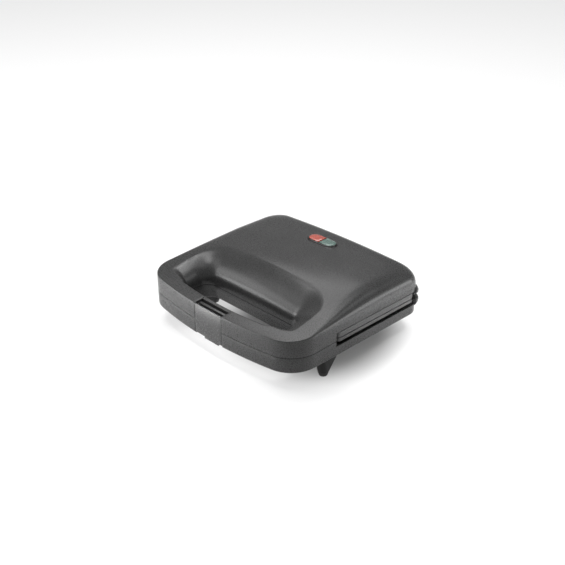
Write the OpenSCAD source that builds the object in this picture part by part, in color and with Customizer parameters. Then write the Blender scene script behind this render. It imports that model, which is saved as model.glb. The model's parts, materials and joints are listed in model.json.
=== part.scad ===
// Sandwich toaster with a hinged lid, a snap latch and two die-cast cooking plates.
// The origin is on the table, under the middle of the toaster. The handle faces -Y, +Z is up.

/* [Housings] */
// Width across the side walls
body_w = 230; // [226:1:234]
// Depth from the middle of the front to the rear walls
body_d = 210; // [208:1:212]
// Height of the parting line above the table
seam_z = 40; // [39:1:42]
// Gap between the two housings at the parting line
seam_gap = 0.5; // [0.4:0.1:0.8]
// How far the front bows forward at its middle
front_bow = 13.7; // [12:0.1:15]
// Radius of the front corners in plan
front_corner_r = 33.7; // [30:0.1:36]
// Radius of the rear corners in plan
rear_corner_r = 18; // [16:1:20]
// Wall thickness of both housings
wall = 2.5; // [2.2:0.1:2.8]

/* [Lid shape] */
// Height of the front band of the lid above the parting line
band_h = 19.3; // [18:0.1:20]
// Height of the crown of the lid above the parting line
crown_h = 39.4; // [38:0.1:41]
// Height of the lid's side shoulders above the parting line
shoulder_h = 36; // [34:0.5:37]
// Largest radius of the side shoulders
shoulder_r = 25; // [22:1:26]
// Radius of the rear shoulder
rear_shoulder_r = 21; // [19:1:23]
// Radius of the sharp edge along the front
edge_r = 1.2; // [1:0.1:1.5]

/* [Base shape] */
// Depth of the base's side walls below the parting line
skirt_h = 18; // [17.5:0.5:18.5]
// Depth of the base's belly below the parting line
belly_h = 26; // [25.5:0.5:27]
// Radius of the lower edge of the base
skirt_r = 4.5; // [4:0.5:5]

/* [Handle] */
// Depth of the handle bar from front to back
bar_d = 17; // [16:0.5:18]
// Half the width of the finger opening
hole_half_w = 73; // [70:1:75]
// Distance from the front to the rear edge of the finger opening
hole_back = 63; // [61:1:65]
// Corner radius of the finger opening
hole_r = 14; // [12:1:15]
// How far the scoop behind the finger opening reaches back on the lid
scoop_back = 30; // [28:1:31]
// How far the scoop reaches out at the ends of the finger opening
scoop_end = 22; // [20:1:23]
// Radius of the roll on the handle bar
roll_bar_r = 3; // [2.8:0.1:3.5]

/* [Plates] */
// Width of the cooking plates
plate_w = 228; // [226:1:228]
// Distance from the front to the front edge of the plates
plate_front = 76; // [75.8:0.1:76.2]
// Depth of the cooking plates
plate_d = 121; // [120.6:0.1:121.2]
// Height of the joint between the plates above the parting line
plate_seam = 1.6; // [1.4:0.1:1.8]
// Depth of each sandwich pocket
pocket_depth = 9; // [8:0.5:9.5]
// Thickness of the plates' skin
plate_skin = 2.6; // [2.4:0.1:3]

/* [Latch] */
// Width of the latch clip
clip_w = 42; // [41:0.5:43]
// Distance from the front to the latch pin
latch_pin_back = 7; // [6.8:0.1:7.2]
// Height of the latch pin above the parting line
latch_pin_h = 15; // [14.5:0.1:15.2]

/* [Hinge] */
// Distance from the front to the hinge line
hinge_back = 216; // [216:0.5:217]
// Height of the hinge line above the parting line
hinge_h = 2.5; // [2:0.1:3]
// Distance of each hinge from the middle
hinge_x = 62; // [55:1:65]
// Radius of the hinge knuckles
knuckle_r = 5; // [4.5:0.1:5]
// Radius of the hinge pins
hinge_pin_r = 2; // [1.8:0.1:2.2]

/* [Feet] */
// Distance of the front feet from the middle
front_foot_x = 105.5; // [104:0.1:106]
// Distance of the rear feet from the middle
rear_foot_x = 78; // [72:1:84]
// Height of the rubber foot caps
foot_h = 5; // [4:0.5:6]

/* [Indicator] */
// Length of the pair of indicator lenses
lens_l = 38; // [36:1:40]
// Width of the indicator lenses
lens_w = 15; // [13:1:16]
// Distance from the front to the middle of the lenses
lens_back = 172; // [168:1:174]

/* [Hidden] */

$fn = 48;
eps = 0.01;
half_w = body_w / 2;
knuckle_back = hinge_back + knuckle_r;      // rearmost point of the toaster
front_y = -knuckle_back / 2;                // so that the footprint is centred on the origin
rear_y = front_y + body_d;
lid_z = seam_z + seam_gap / 2;              // lower edge of the lid
base_z = seam_z - seam_gap / 2;             // upper edge of the base
bow_r = (half_w * half_w + front_bow * front_bow) / (2 * front_bow);
bow_y = front_y + bow_r;                    // centre of the bow's circle

// Colours, as the surfaces show them
shell_grey = "#4a4a4a";
dark_rubber = "#1c1c1c";
plate_black = "#262626";
steel = "#a8a8a8";
bright_tin = "#c9c9c4";

// Steps along each stretch of the two plan loops, from the front's middle to the rear's: bow,
// front corner, side, rear corner, rear. Both add up to the same number.
outline_steps = [6, 7, 8, 6, 5];
opening_steps = [6, 7, 3, 11, 5];

// The slot along both sides that shows the rims of the plates
slot_front = 72.5;      // distances from the front
slot_back = 199;
slot_top = 8.8;         // heights above the parting line
slot_bottom = -6.2;
rear_gap_top = 4.5;
rear_gap_bottom = -0.5;

function ease(t) = let (c = min(1, max(0, t))) c * c * (3 - 2 * c);
function back(v) = front_y + v;

// ---- Plan loops -------------------------------------------------------------------------------
// Half a loop from the middle of its front to the middle of its rear, as [x, y, angle], where
// angle is the direction of the outward normal. Its front is an arc of radius br about (0, bow_y).
function half_loop(w, br, rf, yr, rr, n) =
    let (cx = w - rf,
         cy = bow_y - sqrt(pow(br - rf, 2) - cx * cx),
         turn = atan2(cy - bow_y, cx),
         rear_cx = w - rr,
         rear_cy = yr - rr)
    concat(
        [for (i = [0:n[0] - 1]) let (a = -90 + (turn + 90) * i / n[0])
            [br * cos(a), bow_y + br * sin(a), a]],
        [for (i = [0:n[1] - 1]) let (a = turn * (1 - i / n[1]))
            [cx + rf * cos(a), cy + rf * sin(a), a]],
        [for (i = [0:n[2] - 1]) [w, cy + (rear_cy - cy) * i / n[2], 0]],
        [for (i = [0:n[3] - 1]) let (a = 90 * i / n[3])
            [rear_cx + rr * cos(a), rear_cy + rr * sin(a), a]],
        [for (i = [0:n[4]]) [rear_cx * (1 - i / n[4]), yr, 90]]);

// The whole loop: the right half and its mirror image, without the two middle points twice
function whole_loop(half) =
    concat(half, [for (i = [len(half) - 2:-1:1]) [-half[i][0], half[i][1], 180 - half[i][2]]]);

// A loop's point moved outward by d
function moved(p, d) = [p[0] + d * cos(p[2]), p[1] + d * sin(p[2])];
function at_z(p, z) = [p[0], p[1], z];
function mix(a, b, t) = a * (1 - t) + b * t;

outline = whole_loop(half_loop(half_w, bow_r, front_corner_r, rear_y, rear_corner_r,
    outline_steps));
opening = whole_loop(half_loop(hole_half_w, bow_r - bar_d, hole_r, back(hole_back), hole_r,
    opening_steps));

// ---- Shape of the lid -------------------------------------------------------------------------
function side_rise(y) = ease((y - front_y - 8) / 130);
function crown_rise(y) = ease((y - front_y) / 110);
function shoulder_at(y) = max(edge_r, shoulder_r * side_rise(y));

// Height of the lid's top above the parting line
function dome(p) =
    let (middle = band_h + (crown_h - band_h) * crown_rise(p[1]),
         side = band_h + (shoulder_h - band_h) * side_rise(p[1]),
         across = p[0] / (half_w - shoulder_at(p[1])))
    middle - (middle - side) * across * across;

// Radius of the outer shoulder at a point of the outline
function shoulder(o) = mix(shoulder_at(o[1]), rear_shoulder_r, ease(sin(o[2])));
// Where the shoulder of radius r meets the dome. Round the rear corners the shoulders are wider
// than the outline's corners, so there it follows a loop of its own, and the points along the
// sides draw forward to meet that loop.
dome_corner_r = 26;
side_front = bow_y - sqrt(pow(bow_r - front_corner_r, 2) - pow(half_w - front_corner_r, 2));
side_rear = rear_y - rear_corner_r;
function shoulder_end(o, r) =
    let (c = abs(cos(o[2])),
         along = max(0, (o[1] - side_front) / (side_rear - side_front)))
    o[1] < side_rear - eps
        ? moved(o, -r) - [0, (dome_corner_r + rear_shoulder_r - rear_corner_r) * along * along]
        : [sign(o[0]) * (c > eps
                ? half_w - shoulder_r - dome_corner_r * (1 - c)
                : abs(o[0]) * (half_w - shoulder_r - dome_corner_r) / (half_w - rear_corner_r)),
            rear_y - rear_shoulder_r - dome_corner_r * (1 - sin(o[2]))];
// Width of the rolled edge round the finger opening at one of its points
function roll(h) = sin(h[2]) > 0
    ? mix(scoop_end, scoop_back, ease(sin(h[2])))
    : mix(scoop_end, roll_bar_r, ease(-1.25 * sin(h[2])));
// On the bar the edge is a quarter circle. Behind and beside the opening it is a scoop: a flat
// curve that starts low on the opening's wall and meets the dome in a soft crease.
scoop_turn = 45;
scoop_foot = 3;
function scooped(h) = ease(sin(h[2]) / 0.3 + 1);

// A point of the rolled edge, a share u of the way from the wall to the dome at g
function roll_point(h, ch, zg, t, u) =
    let (rh = ch - t,
         w = scooped(h),
         a = 90 * u,
         b = scoop_turn * u,
         out = mix(1 - cos(a), (1 - cos(b)) / (1 - cos(scoop_turn)), w),
         up = mix(zg - rh + rh * sin(a),
             mix(seam_z + scoop_foot, zg, sin(b) / sin(scoop_turn)), w))
    at_z(moved(h, t + rh * out), up);

// A section of the lid from the opening to the outline, a depth t inside its skin
function lid_section(o, h, t, z0, arc_n, dome_n) =
    let (co = max(shoulder(o), t + 0.4),
         ch = max(roll(h), t + 0.4),
         ro = co - t,
         q = shoulder_end(o, co),
         side = moved(o, -t) - q,
         g = moved(h, ch),
         zq = seam_z + dome(q) - t,
         zg = seam_z + dome(g) - t)
    concat(
        [at_z(moved(h, t), z0)],
        [for (i = [0:arc_n]) roll_point(h, ch, zg, t, i / arc_n)],
        [for (i = [1:dome_n - 1]) let (p = mix(g, q, i / dome_n))
            at_z(p, seam_z + dome(p) - t)],
        [for (i = [arc_n:-1:0]) let (a = 90 * i / arc_n)
            at_z(q + side * cos(a), zq - ro + ro * sin(a))],
        [at_z(moved(o, -t), z0)]);

// ---- Shape of the base ------------------------------------------------------------------------
// Depth of the base's underside below the parting line
function belly(p) =
    skirt_h + (belly_h - skirt_h) * ease((p[1] - back(68)) / 22)
        * ease((half_w - skirt_r - abs(p[0])) / 22) * ease((rear_y - skirt_r - p[1]) / 22);
// How far the finger opening widens down to the underside
function opening_draft(h) = mix(1.5, 3.5, ease(sin(h[2])));
base_hole_r = 2;

function base_section(o, h, t, z0, arc_n, belly_n) =
    let (co = max(skirt_r, t + 0.4),
         ro = co - t,
         ch = max(base_hole_r, t + 0.4),
         rh = ch - t,
         dr = opening_draft(h),
         q = moved(o, -co),
         g = moved(h, ch + dr),
         zb = seam_z - skirt_h + t)
    concat(
        [at_z(moved(o, -t), z0)],
        [for (i = [0:arc_n]) let (a = 90 * i / arc_n)
            at_z(moved(o, ro * cos(a) - co), zb + ro - ro * sin(a))],
        [for (i = [1:belly_n - 1]) let (p = mix(q, g, pow(i / belly_n, 1.4)))
            at_z(p, seam_z - belly(p) + t)],
        [for (i = [arc_n:-1:0]) let (a = 90 * i / arc_n)
            at_z(moved(h, ch + dr - rh * cos(a)), zb + rh - rh * sin(a))],
        [at_z(moved(h, t), z0)]);

// A ring-shaped solid from closed sections that stand side by side
module ring_solid(sections) {
    n = len(sections);
    m = len(sections[0]);
    polyhedron(
        points = [for (s = sections) for (p = s) p],
        faces = [for (i = [0:n - 1]) for (j = [0:m - 1])
            let (a = i * m + j,
                 b = i * m + (j + 1) % m,
                 c = ((i + 1) % n) * m + (j + 1) % m,
                 d = ((i + 1) % n) * m + j)
            each [[a, c, b], [a, d, c]]]);
}

module lid_form(t, z0, arc_n, dome_n)
    ring_solid([for (i = [0:len(outline) - 1])
        lid_section(outline[i], opening[i], t, z0, arc_n, dome_n)]);

module base_form(t, z0, arc_n, belly_n)
    ring_solid([for (i = [0:len(outline) - 1])
        base_section(outline[i], opening[i], t, z0, arc_n, belly_n)]);

// A stack of loops of equal length, closed at both ends
module loft(loops) {
    n = len(loops);
    m = len(loops[0]);
    polyhedron(
        points = [for (l = loops) for (p = l) p],
        faces = concat(
            [[for (j = [0:m - 1]) j]],
            [[for (j = [m - 1:-1:0]) (n - 1) * m + j]],
            [for (i = [0:n - 2]) for (j = [0:m - 1])
                let (a = i * m + j,
                     b = i * m + (j + 1) % m,
                     c = (i + 1) * m + (j + 1) % m,
                     d = (i + 1) * m + j)
                each [[a, c, b], [a, d, c]]]));
}

// A rectangle with rounded corners about c, as a loop at height z
function round_rect(c, w, d, r, z, steps = 4) =
    [for (k = [0:3]) for (i = [0:steps])
        let (a = 90 * k + 90 * i / steps,
             sx = (k == 0 || k == 3) ? 1 : -1,
             sy = k < 2 ? 1 : -1)
        [c[0] + sx * (w / 2 - r) + r * cos(a), c[1] + sy * (d / 2 - r) + r * sin(a), z]];

// A plate with rounded corners, true arcs
module round_plate(w, d, h, r) {
    linear_extrude(h) {
        square([w - 2 * r, d], center = true);
        square([w, d - 2 * r], center = true);
        for (x = [-1, 1], y = [-1, 1])
            translate([x * (w / 2 - r), y * (d / 2 - r)]) circle(r);
    }
}

module at_each_side(x) {
    for (s = [-1, 1]) translate([s * x, 0, 0]) children();
}

// A cylinder of radius r along X, centred on x
module rod_x(r, l, x = 0) {
    translate([x - l / 2, 0, 0]) rotate([0, 90, 0]) cylinder(r = r, h = l);
}

// ---- Legs and feet ----------------------------------------------------------------------------
front_foot_pos = [front_foot_x, back(64)];
rear_foot_pos = [rear_foot_x, back(176)];
foot_tip_r = 4.4;
foot_top_r = 6;
foot_peg_r = 2;
foot_peg_h = 5;

// A tapered leg that grows out of the underside above a foot at p, depth deep at its top, where
// it stands behind the foot by lean
module leg(p, top_z, depth, lean) {
    loft([
        round_rect(p, 2 * foot_top_r, 2 * foot_top_r, foot_top_r - 0.1, foot_h),
        round_rect([p[0] - 1.4 * sign(p[0]), p[1] + lean], 15, depth, 3, top_z)]);
}

// The web that runs inward from each front leg to the end of the finger opening
web_t = 5.5;
module leg_web(top_z) {
    for (s = [-1, 1]) translate([0, back(66.5 + web_t), 0]) rotate([90, 0, 0])
        linear_extrude(web_t) polygon([[s * 62, top_z], [s * 67, top_z - 10],
            [s * 98, top_z - 10], [s * 98, top_z]]);
}

module foot(p) {
    color(dark_rubber) translate([p[0], p[1], 0]) {
        cylinder(r1 = foot_tip_r, r2 = foot_top_r, h = foot_h);
        translate([0, 0, foot_h - eps]) cylinder(r = foot_peg_r, h = foot_peg_h);
    }
}

module front_foot_left() foot([-front_foot_pos[0], front_foot_pos[1]]);
module front_foot_right() foot(front_foot_pos);
module rear_foot_left() foot([-rear_foot_pos[0], rear_foot_pos[1]]);
module rear_foot_right() foot(rear_foot_pos);

// ---- Latch ------------------------------------------------------------------------------------
clip_t = 3;                 // thickness of the clip's front plate
clip_top = 19.3;            // heights from the parting line
clip_bottom = -15.6;
clip_ridge_t = 4.8;          // the flat ridge that the pin runs through
clip_ridge_low = 3.6;
clip_ridge_high = 3.7;
clip_ridge_half = 19.7;
clip_gap = 0.4;             // between the clip and the recess sides
latch_pin_r = 1.25;
hook_x = 15;                // middle of each of the two hooks
hook_w = 5;
tab_half_w = 11;
tab_front = 4;              // distance from the front
tab_bottom = -21.5;
pocket_back = 12;           // how far the latch pocket goes back from the front
catch_back = 4.7;           // front of the catch that the hook snaps under
recess_back = 6.5;

module latch_clip() {
    color(shell_grey) difference() {
        union() {
            // front plate, bowed like the front
            intersection() {
                translate([-clip_w / 2, front_y - 1, seam_z + clip_bottom])
                    cube([clip_w, clip_t + 1, clip_top - clip_bottom]);
                translate([0, bow_y, seam_z - 30]) cylinder(r = bow_r, h = 60, $fn = 720);
            }
            // ridge round the pin, and the thin web between it and the front plate
            translate([-clip_ridge_half, back(latch_pin_back - clip_ridge_t / 2),
                seam_z + latch_pin_h - clip_ridge_low])
                cube([2 * clip_ridge_half, clip_ridge_t, clip_ridge_low + clip_ridge_high]);
            translate([-clip_ridge_half, back(clip_t - eps),
                seam_z + latch_pin_h - clip_ridge_low])
                cube([2 * clip_ridge_half, latch_pin_back - clip_t, 1.6]);
            // hooks
            at_each_side(hook_x) translate([-hook_w / 2, back(clip_t - eps), seam_z + clip_bottom])
                cube([hook_w, catch_back - clip_t - 0.3, 2]);
            // thumb tab, set back below the plate
            translate([-tab_half_w, back(clip_t - eps), seam_z + clip_bottom])
                cube([2 * tab_half_w, tab_front - clip_t + 2, 2]);
            translate([-tab_half_w, back(tab_front), seam_z + tab_bottom])
                cube([2 * tab_half_w, 2, clip_bottom - tab_bottom + 1]);
        }
        translate([0, back(latch_pin_back), seam_z + latch_pin_h])
            rod_x(latch_pin_r + 0.05, 60);
    }
}

module latch_pin() {
    color(steel) translate([0, back(latch_pin_back), seam_z + latch_pin_h])
        rod_x(latch_pin_r, clip_w + 6);
}

// ---- Hinge ------------------------------------------------------------------------------------
ear_t = 4;
arm_w = 11.4;
ear_gap = 12;
hinge_plate_w = 24;
hinge_plate_t = 2.5;
screw_r = 1.6;
screw_head_r = 3;
hinge_screw_head_r = 2.5;

module at_hinge(x) {
    translate([x, back(hinge_back), seam_z + hinge_h]) children();
}

// The bracket's plate lies on the rear wall of the base, its ears reach back to the hinge line
module hinge_bracket(x) {
    top = -2 - hinge_h;
    reach = body_d - hinge_back;
    color(steel) at_hinge(x) difference() {
        union() {
            translate([-hinge_plate_w / 2, reach, top - 12])
                cube([hinge_plate_w, hinge_plate_t, 12]);
            for (s = [-1, 1]) translate([s * (ear_gap / 2 + ear_t / 2), 0, 0]) {
                rod_x(knuckle_r, ear_t);
                translate([-ear_t / 2, reach, top - 12 + eps]) rotate([90, 0, 90])
                    linear_extrude(ear_t) polygon([[0, 0], [hinge_plate_t, 0],
                        [-reach + knuckle_r, 12 - top - knuckle_r / 2],
                        [-reach + knuckle_r, 12 - top], [-reach - knuckle_r, 12 - top],
                        [0, 12 - eps]]);
            }
        }
        rod_x(hinge_pin_r, 40);
        for (s = [-1, 1]) translate([s * 3.4, 0, top - 6]) rotate([90, 0, 0])
            cylinder(r = screw_r, h = 40, center = true);
    }
}

// The arm's plate lies on the rear wall of the lid
module hinge_arm(x) {
    reach = body_d - hinge_back;
    plate_z = rear_gap_top - hinge_h + 1.5;
    color(steel) at_hinge(x) difference() {
        union() {
            rod_x(knuckle_r, arm_w);
            translate([-arm_w / 2, reach, plate_z]) cube([arm_w, hinge_plate_t, 14]);
            translate([-arm_w / 2, 0, 0]) rotate([90, 0, 90]) linear_extrude(arm_w)
                polygon([[reach, plate_z], [-knuckle_r + 0.7, -1], [knuckle_r, 0],
                    [reach + hinge_plate_t, plate_z + 9], [reach, plate_z + 9]]);
        }
        rod_x(hinge_pin_r + 0.05, 40);
        translate([0, 0, plate_z + 11.5]) rotate([90, 0, 0])
            cylinder(r = screw_r, h = 40, center = true);
    }
}

module hinge_pin(x) {
    color(steel) at_hinge(x) rod_x(hinge_pin_r, ear_gap + 2 * ear_t + 1);
}

module hinge_bracket_left() hinge_bracket(-hinge_x);
module hinge_bracket_right() hinge_bracket(hinge_x);
module hinge_arm_left() hinge_arm(-hinge_x);
module hinge_arm_right() hinge_arm(hinge_x);
module hinge_pin_left() hinge_pin(-hinge_x);
module hinge_pin_right() hinge_pin(hinge_x);

// ---- Housings ---------------------------------------------------------------------------------
// A box across the whole width between two distances from the front
module slice(from, to, z1, z2) {
    translate([-body_w, back(from), seam_z + z1]) cube([2 * body_w, to - from, z2 - z1]);
}

// A lip that stands proud round the two rear corners
module corner_lips(proud, z1, z2) {
    translate([0, 0, seam_z + z1]) linear_extrude(z2 - z1) intersection() {
        square([body_w, 3 * body_d], center = true);
        difference() {
            polygon([for (o = outline) moved(o, proud)]);
            polygon([for (o = outline) moved(o, -wall + eps)]);
            translate([-body_w, back(-20)]) square([2 * body_w, 20 + 200]);
            translate([-88, back(0)]) square([176, body_d + 20]);
        }
    }
}

// The solid middle of the handle bar, which carries the latch
latch_block_half = clip_w / 2 + 4;
module latch_block(from, z1, z2) {
    translate([-latch_block_half, back(from), seam_z + z1])
        cube([2 * latch_block_half, bar_d - 2 - from, z2 - z1]);
}

// Bosses under the lid's roof that carry the lamp board
lamp_board_z = seam_z + 27;
lamp_post_x = 24.5;
roof_in_z = seam_z + crown_h - wall - 0.6;
module lamp_posts() {
    at_each_side(lamp_post_x) translate([0, back(lens_back), lamp_board_z + 1.6])
        cylinder(r = 3, h = roof_in_z + 1.2 - lamp_board_z - 1.6);
}

// The pair of lenses as a flat outline, d larger all round
module lens_outline(d) {
    r = lens_w / 2 + d;
    at_each_side(lens_l / 2 - lens_w / 2) circle(r);
    square([lens_l - lens_w, 2 * r], center = true);
}

// Bosses that the plates are screwed to
boss_r = 3;
module plate_bosses(z1, z2) {
    plate_screw_places() translate([0, 0, seam_z + z1]) cylinder(r = boss_r, h = z2 - z1);
}
module plate_boss_bores(z1, z2) {
    plate_screw_places() translate([0, 0, seam_z + z1])
        cylinder(r = screw_r + 0.05, h = z2 - z1);
}

module upper_housing() {
    color(shell_grey) difference() {
        union() {
            difference() {
                union() {
                    difference() {
                        lid_form(0, lid_z, 5, 7);
                        lid_form(wall, lid_z - 5, 3, 5);
                    }
                    corner_lips(3.2, rear_gap_top + 1.5, rear_gap_top + 7);
                    latch_block(1.5, seam_gap / 2, band_h - 1.5);
                    lamp_posts();
                }
                slice(slot_front, slot_back, -2, slot_top);
                slice(slot_back - eps, body_d + 20, -2, rear_gap_top);
            }
            plate_bosses(plate_seam + 2.75, 25.5);
        }
        plate_boss_bores(0, 12);
        // latch pocket: shallow for the clip's plate, deep at the top where the clip turns
        translate([-clip_w / 2 - clip_gap, front_y - 5, seam_z - 2])
            cube([clip_w + 2 * clip_gap, 5 + clip_t + 0.6, band_h + 10]);
        translate([-clip_w / 2 - clip_gap, front_y - 5, seam_z + latch_pin_h - clip_ridge_low - 2])
            cube([clip_w + 2 * clip_gap, 5 + pocket_back, band_h]);
        translate([0, back(latch_pin_back), seam_z + latch_pin_h])
            rod_x(latch_pin_r + eps, clip_w + 7);
        translate([0, back(lens_back), seam_z + 30]) linear_extrude(30) lens_outline(0.15);
    }
}

module lower_housing() {
    color(shell_grey) difference() {
        union() {
            difference() {
                union() {
                    difference() {
                        base_form(0, base_z, 4, 8);
                        base_form(wall, base_z + 5, 3, 8);
                    }
                    corner_lips(3.8, rear_gap_bottom - 7.5, rear_gap_bottom);
                    latch_block(3, -skirt_h + 1.5, -seam_gap / 2);
                    for (s = [-1, 1]) {
                        leg([s * front_foot_pos[0], front_foot_pos[1]], seam_z - skirt_h + 1.5,
                            25, 6);
                        leg([s * rear_foot_pos[0], rear_foot_pos[1]], seam_z - belly_h + 2,
                            21, 2);
                    }
                    leg_web(seam_z - skirt_h + 1.5);
                }
                slice(slot_front, slot_back, slot_bottom, 2);
                slice(slot_back - eps, body_d + 20, rear_gap_bottom, 2);
            }
            plate_bosses(-skirt_h + 0.5, plate_seam - 2.75);
        }
        plate_boss_bores(-8, 0);
        // latch recess, with the two catches left standing at its back
        difference() {
            translate([-clip_w / 2 - clip_gap, front_y - 5, seam_z - 40])
                cube([clip_w + 2 * clip_gap, 5 + recess_back, 50]);
            at_each_side(hook_x) translate([-hook_w / 2 - 0.5, back(catch_back),
                seam_z + clip_bottom + 2.4]) cube([hook_w + 1, 4, 3]);
        }
        for (s = [-1, 1]) {
            foot_bore([s * front_foot_pos[0], front_foot_pos[1]]);
            foot_bore([s * rear_foot_pos[0], rear_foot_pos[1]]);
        }
        cord_axis() cylinder(r = cord_bush_r, h = 30, center = true);
    }
}

module foot_bore(p) {
    translate([p[0], p[1], foot_h - 1]) cylinder(r = foot_peg_r + 0.05, h = foot_peg_h + 1.5);
}

// Panels that close the two halves of the handle from inside
cover_t = 2;
cover_gap = 0.3;
module grip_cover(z, draft) {
    inside = wall + cover_gap;
    color(shell_grey) translate([0, 0, z]) difference() {
        linear_extrude(cover_t) difference() {
            polygon([for (o = outline) moved(o, -inside)]);
            polygon([for (h = opening) moved(h, inside + draft)]);
            translate([-body_w, back(slot_front - 1)]) square([2 * body_w, body_d]);
            translate([-latch_block_half - cover_gap, back(-10)])
                square([2 * (latch_block_half + cover_gap), 10 + bar_d + wall]);
        }
    }
}
module upper_grip_cover() grip_cover(lid_z + 0.1, 0);
module lower_grip_cover() grip_cover(base_z - 0.1 - cover_t, 1.6);

// ---- Cooking plates ---------------------------------------------------------------------------
plate_mid = plate_front + plate_d / 2;
plate_gap = 0.3;            // between the closed plates
plate_deck = 2.5;
upper_rim_h = 7;            // height of the rims that show at the sides
lower_rim_h = 4;
rim_t = 2.5;
plate_corner_r = 4;
pocket_leg = 92;            // legs of each triangular pocket
pocket_middle = 52.5;       // middle of each sandwich bay from the middle of the plate
pocket_corner_r = 7;
ridge = 5;                  // flat ridge between the two triangles of a bay
pocket_draft = 6;           // how far the pocket walls lean in

// A triangle with a square corner at the outer front and rounded corners, as a loop
function tri_loop(leg, r, z, steps = 5) =
    let (k = leg - r - r * (1 + sqrt(2)),
         centres = [[r, r], [r + k, r], [r, r + k]],
         starts = [180, 270, 45],
         turns = [90, 135, 135])
    [for (c = [0:2]) for (i = [0:steps])
        let (a = starts[c] + turns[c] * i / steps)
        [centres[c][0] + r * cos(a), centres[c][1] + r * sin(a), z]];

function shifted(loop, d) = [for (p = loop) p + d];
function scaled_x(loop, s) = [for (p = loop) [p[0] * s, p[1], p[2]]];

// One pocket about its square corner: straight draft, then a rounded bottom, grown by t all round
module pocket(t, top) {
    low = -pocket_depth;
    loft([
        shifted(tri_loop(pocket_leg - 2 * pocket_draft - 5.5 + 2.4 * t, pocket_corner_r, low - t),
            [pocket_draft + 2.5 - t, pocket_draft + 2.5 - t, 0]),
        shifted(tri_loop(pocket_leg - 2 * pocket_draft - 1 + 2.4 * t, pocket_corner_r, low + 1 - t),
            [pocket_draft - t, pocket_draft - t, 0]),
        shifted(tri_loop(pocket_leg - 1.5 * pocket_draft + 2.4 * t, pocket_corner_r, low + 3 - t),
            [0.75 * pocket_draft - t, 0.75 * pocket_draft - t, 0]),
        shifted(tri_loop(pocket_leg + 2.4 * t, pocket_corner_r, top), [-t, -t, 0])]);
}

// The four pockets of a plate, two in each bay
module pockets(t, top) {
    bay = pocket_leg + ridge + 2;
    for (s = [-1, 1]) translate([s * pocket_middle, back(plate_mid), 0]) for (k = [0, 180])
        rotate([0, 0, k]) translate([-s * bay / 2, -bay / 2, 0]) scale([s, 1, 1]) pocket(t, top);
}

// A plate with its pockets hanging down from z = 0
module cooking_plate(rim_h) {
    difference() {
        union() {
            translate([0, back(plate_mid), -rim_h]) difference() {
                round_plate(plate_w, plate_d, rim_h, plate_corner_r);
                translate([0, 0, -1]) round_plate(plate_w - 2 * rim_t, plate_d - 2 * rim_t,
                    rim_h + 1 - plate_deck, plate_corner_r - rim_t);
            }
            pockets(plate_skin, -plate_deck + eps);
        }
        pockets(0, 1);
        plate_screw_places() translate([0, 0, -8]) cylinder(r = screw_r + 0.05, h = 20);
        plate_screw_places() translate([0, 0, -1.6]) cylinder(r = screw_head_r + 0.1, h = 3);
    }
}

plate_screw_x = 106.5;
plate_screw_y = 53;
module plate_screw_places() {
    for (x = [-1, 1], y = [-1, 1])
        translate([x * plate_screw_x, back(plate_mid) + y * plate_screw_y, 0]) children();
}

module plate_screws() {
    plate_screw_places() {
        translate([0, 0, -1.5]) cylinder(r = screw_head_r, h = 1.2);
        translate([0, 0, -7.5]) cylinder(r = screw_r, h = 6.1);
    }
}

// Turns what hangs from z = 0 into its place in the base or, upside down, in the lid
module in_base() {
    translate([0, 0, seam_z + plate_seam - plate_gap / 2]) children();
}
module in_lid() {
    translate([0, 0, seam_z + plate_seam + plate_gap / 2]) mirror([0, 0, 1]) children();
}

module lower_plate() { color(plate_black) in_base() cooking_plate(lower_rim_h); }
module upper_plate() { color(plate_black) in_lid() cooking_plate(upper_rim_h); }
module lower_plate_screws() { color(steel) in_base() plate_screws(); }
module upper_plate_screws() { color(steel) in_lid() plate_screws(); }

// ---- Heating ----------------------------------------------------------------------------------
element_r = 3.1;
element_half = 34;          // from the plate's middle line to each run of the element
element_end = 56;           // where the runs end in their half circle
element_z = -pocket_depth - plate_skin - element_r - 0.4;
pin_end = 92;

module element() {
    translate([0, back(plate_mid), element_z]) {
        for (s = [-1, 1]) translate([0, s * element_half, 0]) {
            rod_x(element_r, element_end + 80, (element_end - 80) / 2);
            rod_x(1.4, 12, -86);
        }
        translate([element_end, 0, 0]) rotate([0, 0, -90]) rotate_extrude(angle = 180)
            translate([element_half, 0]) circle(element_r);
    }
}

shield_z = element_z - element_r - 1.2;
shield_w = 190;
shield_d = 92;
shield_t = 0.8;
module shield() {
    translate([0, back(plate_mid), shield_z]) difference() {
        round_plate(shield_w, shield_d, 4, 12);
        translate([0, 0, shield_t])
            round_plate(shield_w - 2 * shield_t, shield_d - 2 * shield_t, 6, 12 - shield_t);
    }
}

module lower_heater() { color(steel) in_base() element(); }
module upper_heater() { color(steel) in_lid() element(); }
module lower_reflector() { color(bright_tin) in_base() shield(); }
module upper_reflector() { color(bright_tin) in_lid() shield(); }

// Bimetal thermostat against the floor of a pocket of the lower plate
module thermostat() {
    color(bright_tin) in_base()
        translate([28, back(plate_mid - 16), -pocket_depth - plate_skin - 0.1]) {
            translate([0, 0, -2.6]) cylinder(r = 8, h = 2.6);
            translate([0, 0, -5]) cylinder(r = 6, h = 2.4 + eps);
            for (s = [-1, 1]) translate([s * 7.5 - 2, -2, -4]) cube([4, 4, 1.8]);
        }
}

wire_z = seam_z - 12.6;
wire_y = back(slot_back + 1.5);
fuse_pos = [-20, wire_y, wire_z];
module thermal_fuse() {
    color(bright_tin) translate(fuse_pos) {
        rod_x(2, 10);
        rod_x(0.6, 22);
    }
}

terminal_pos = [22, back(slot_back + 2), seam_z - 10.5];
module terminal_block() {
    color("#e6e2d6") translate(terminal_pos) difference() {
        translate([-12, -3.5, -4]) cube([24, 7, 8]);
        for (x = [-8, 0, 8]) translate([x, 0, 1]) cylinder(r = 1.6, h = 5);
    }
}

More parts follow.
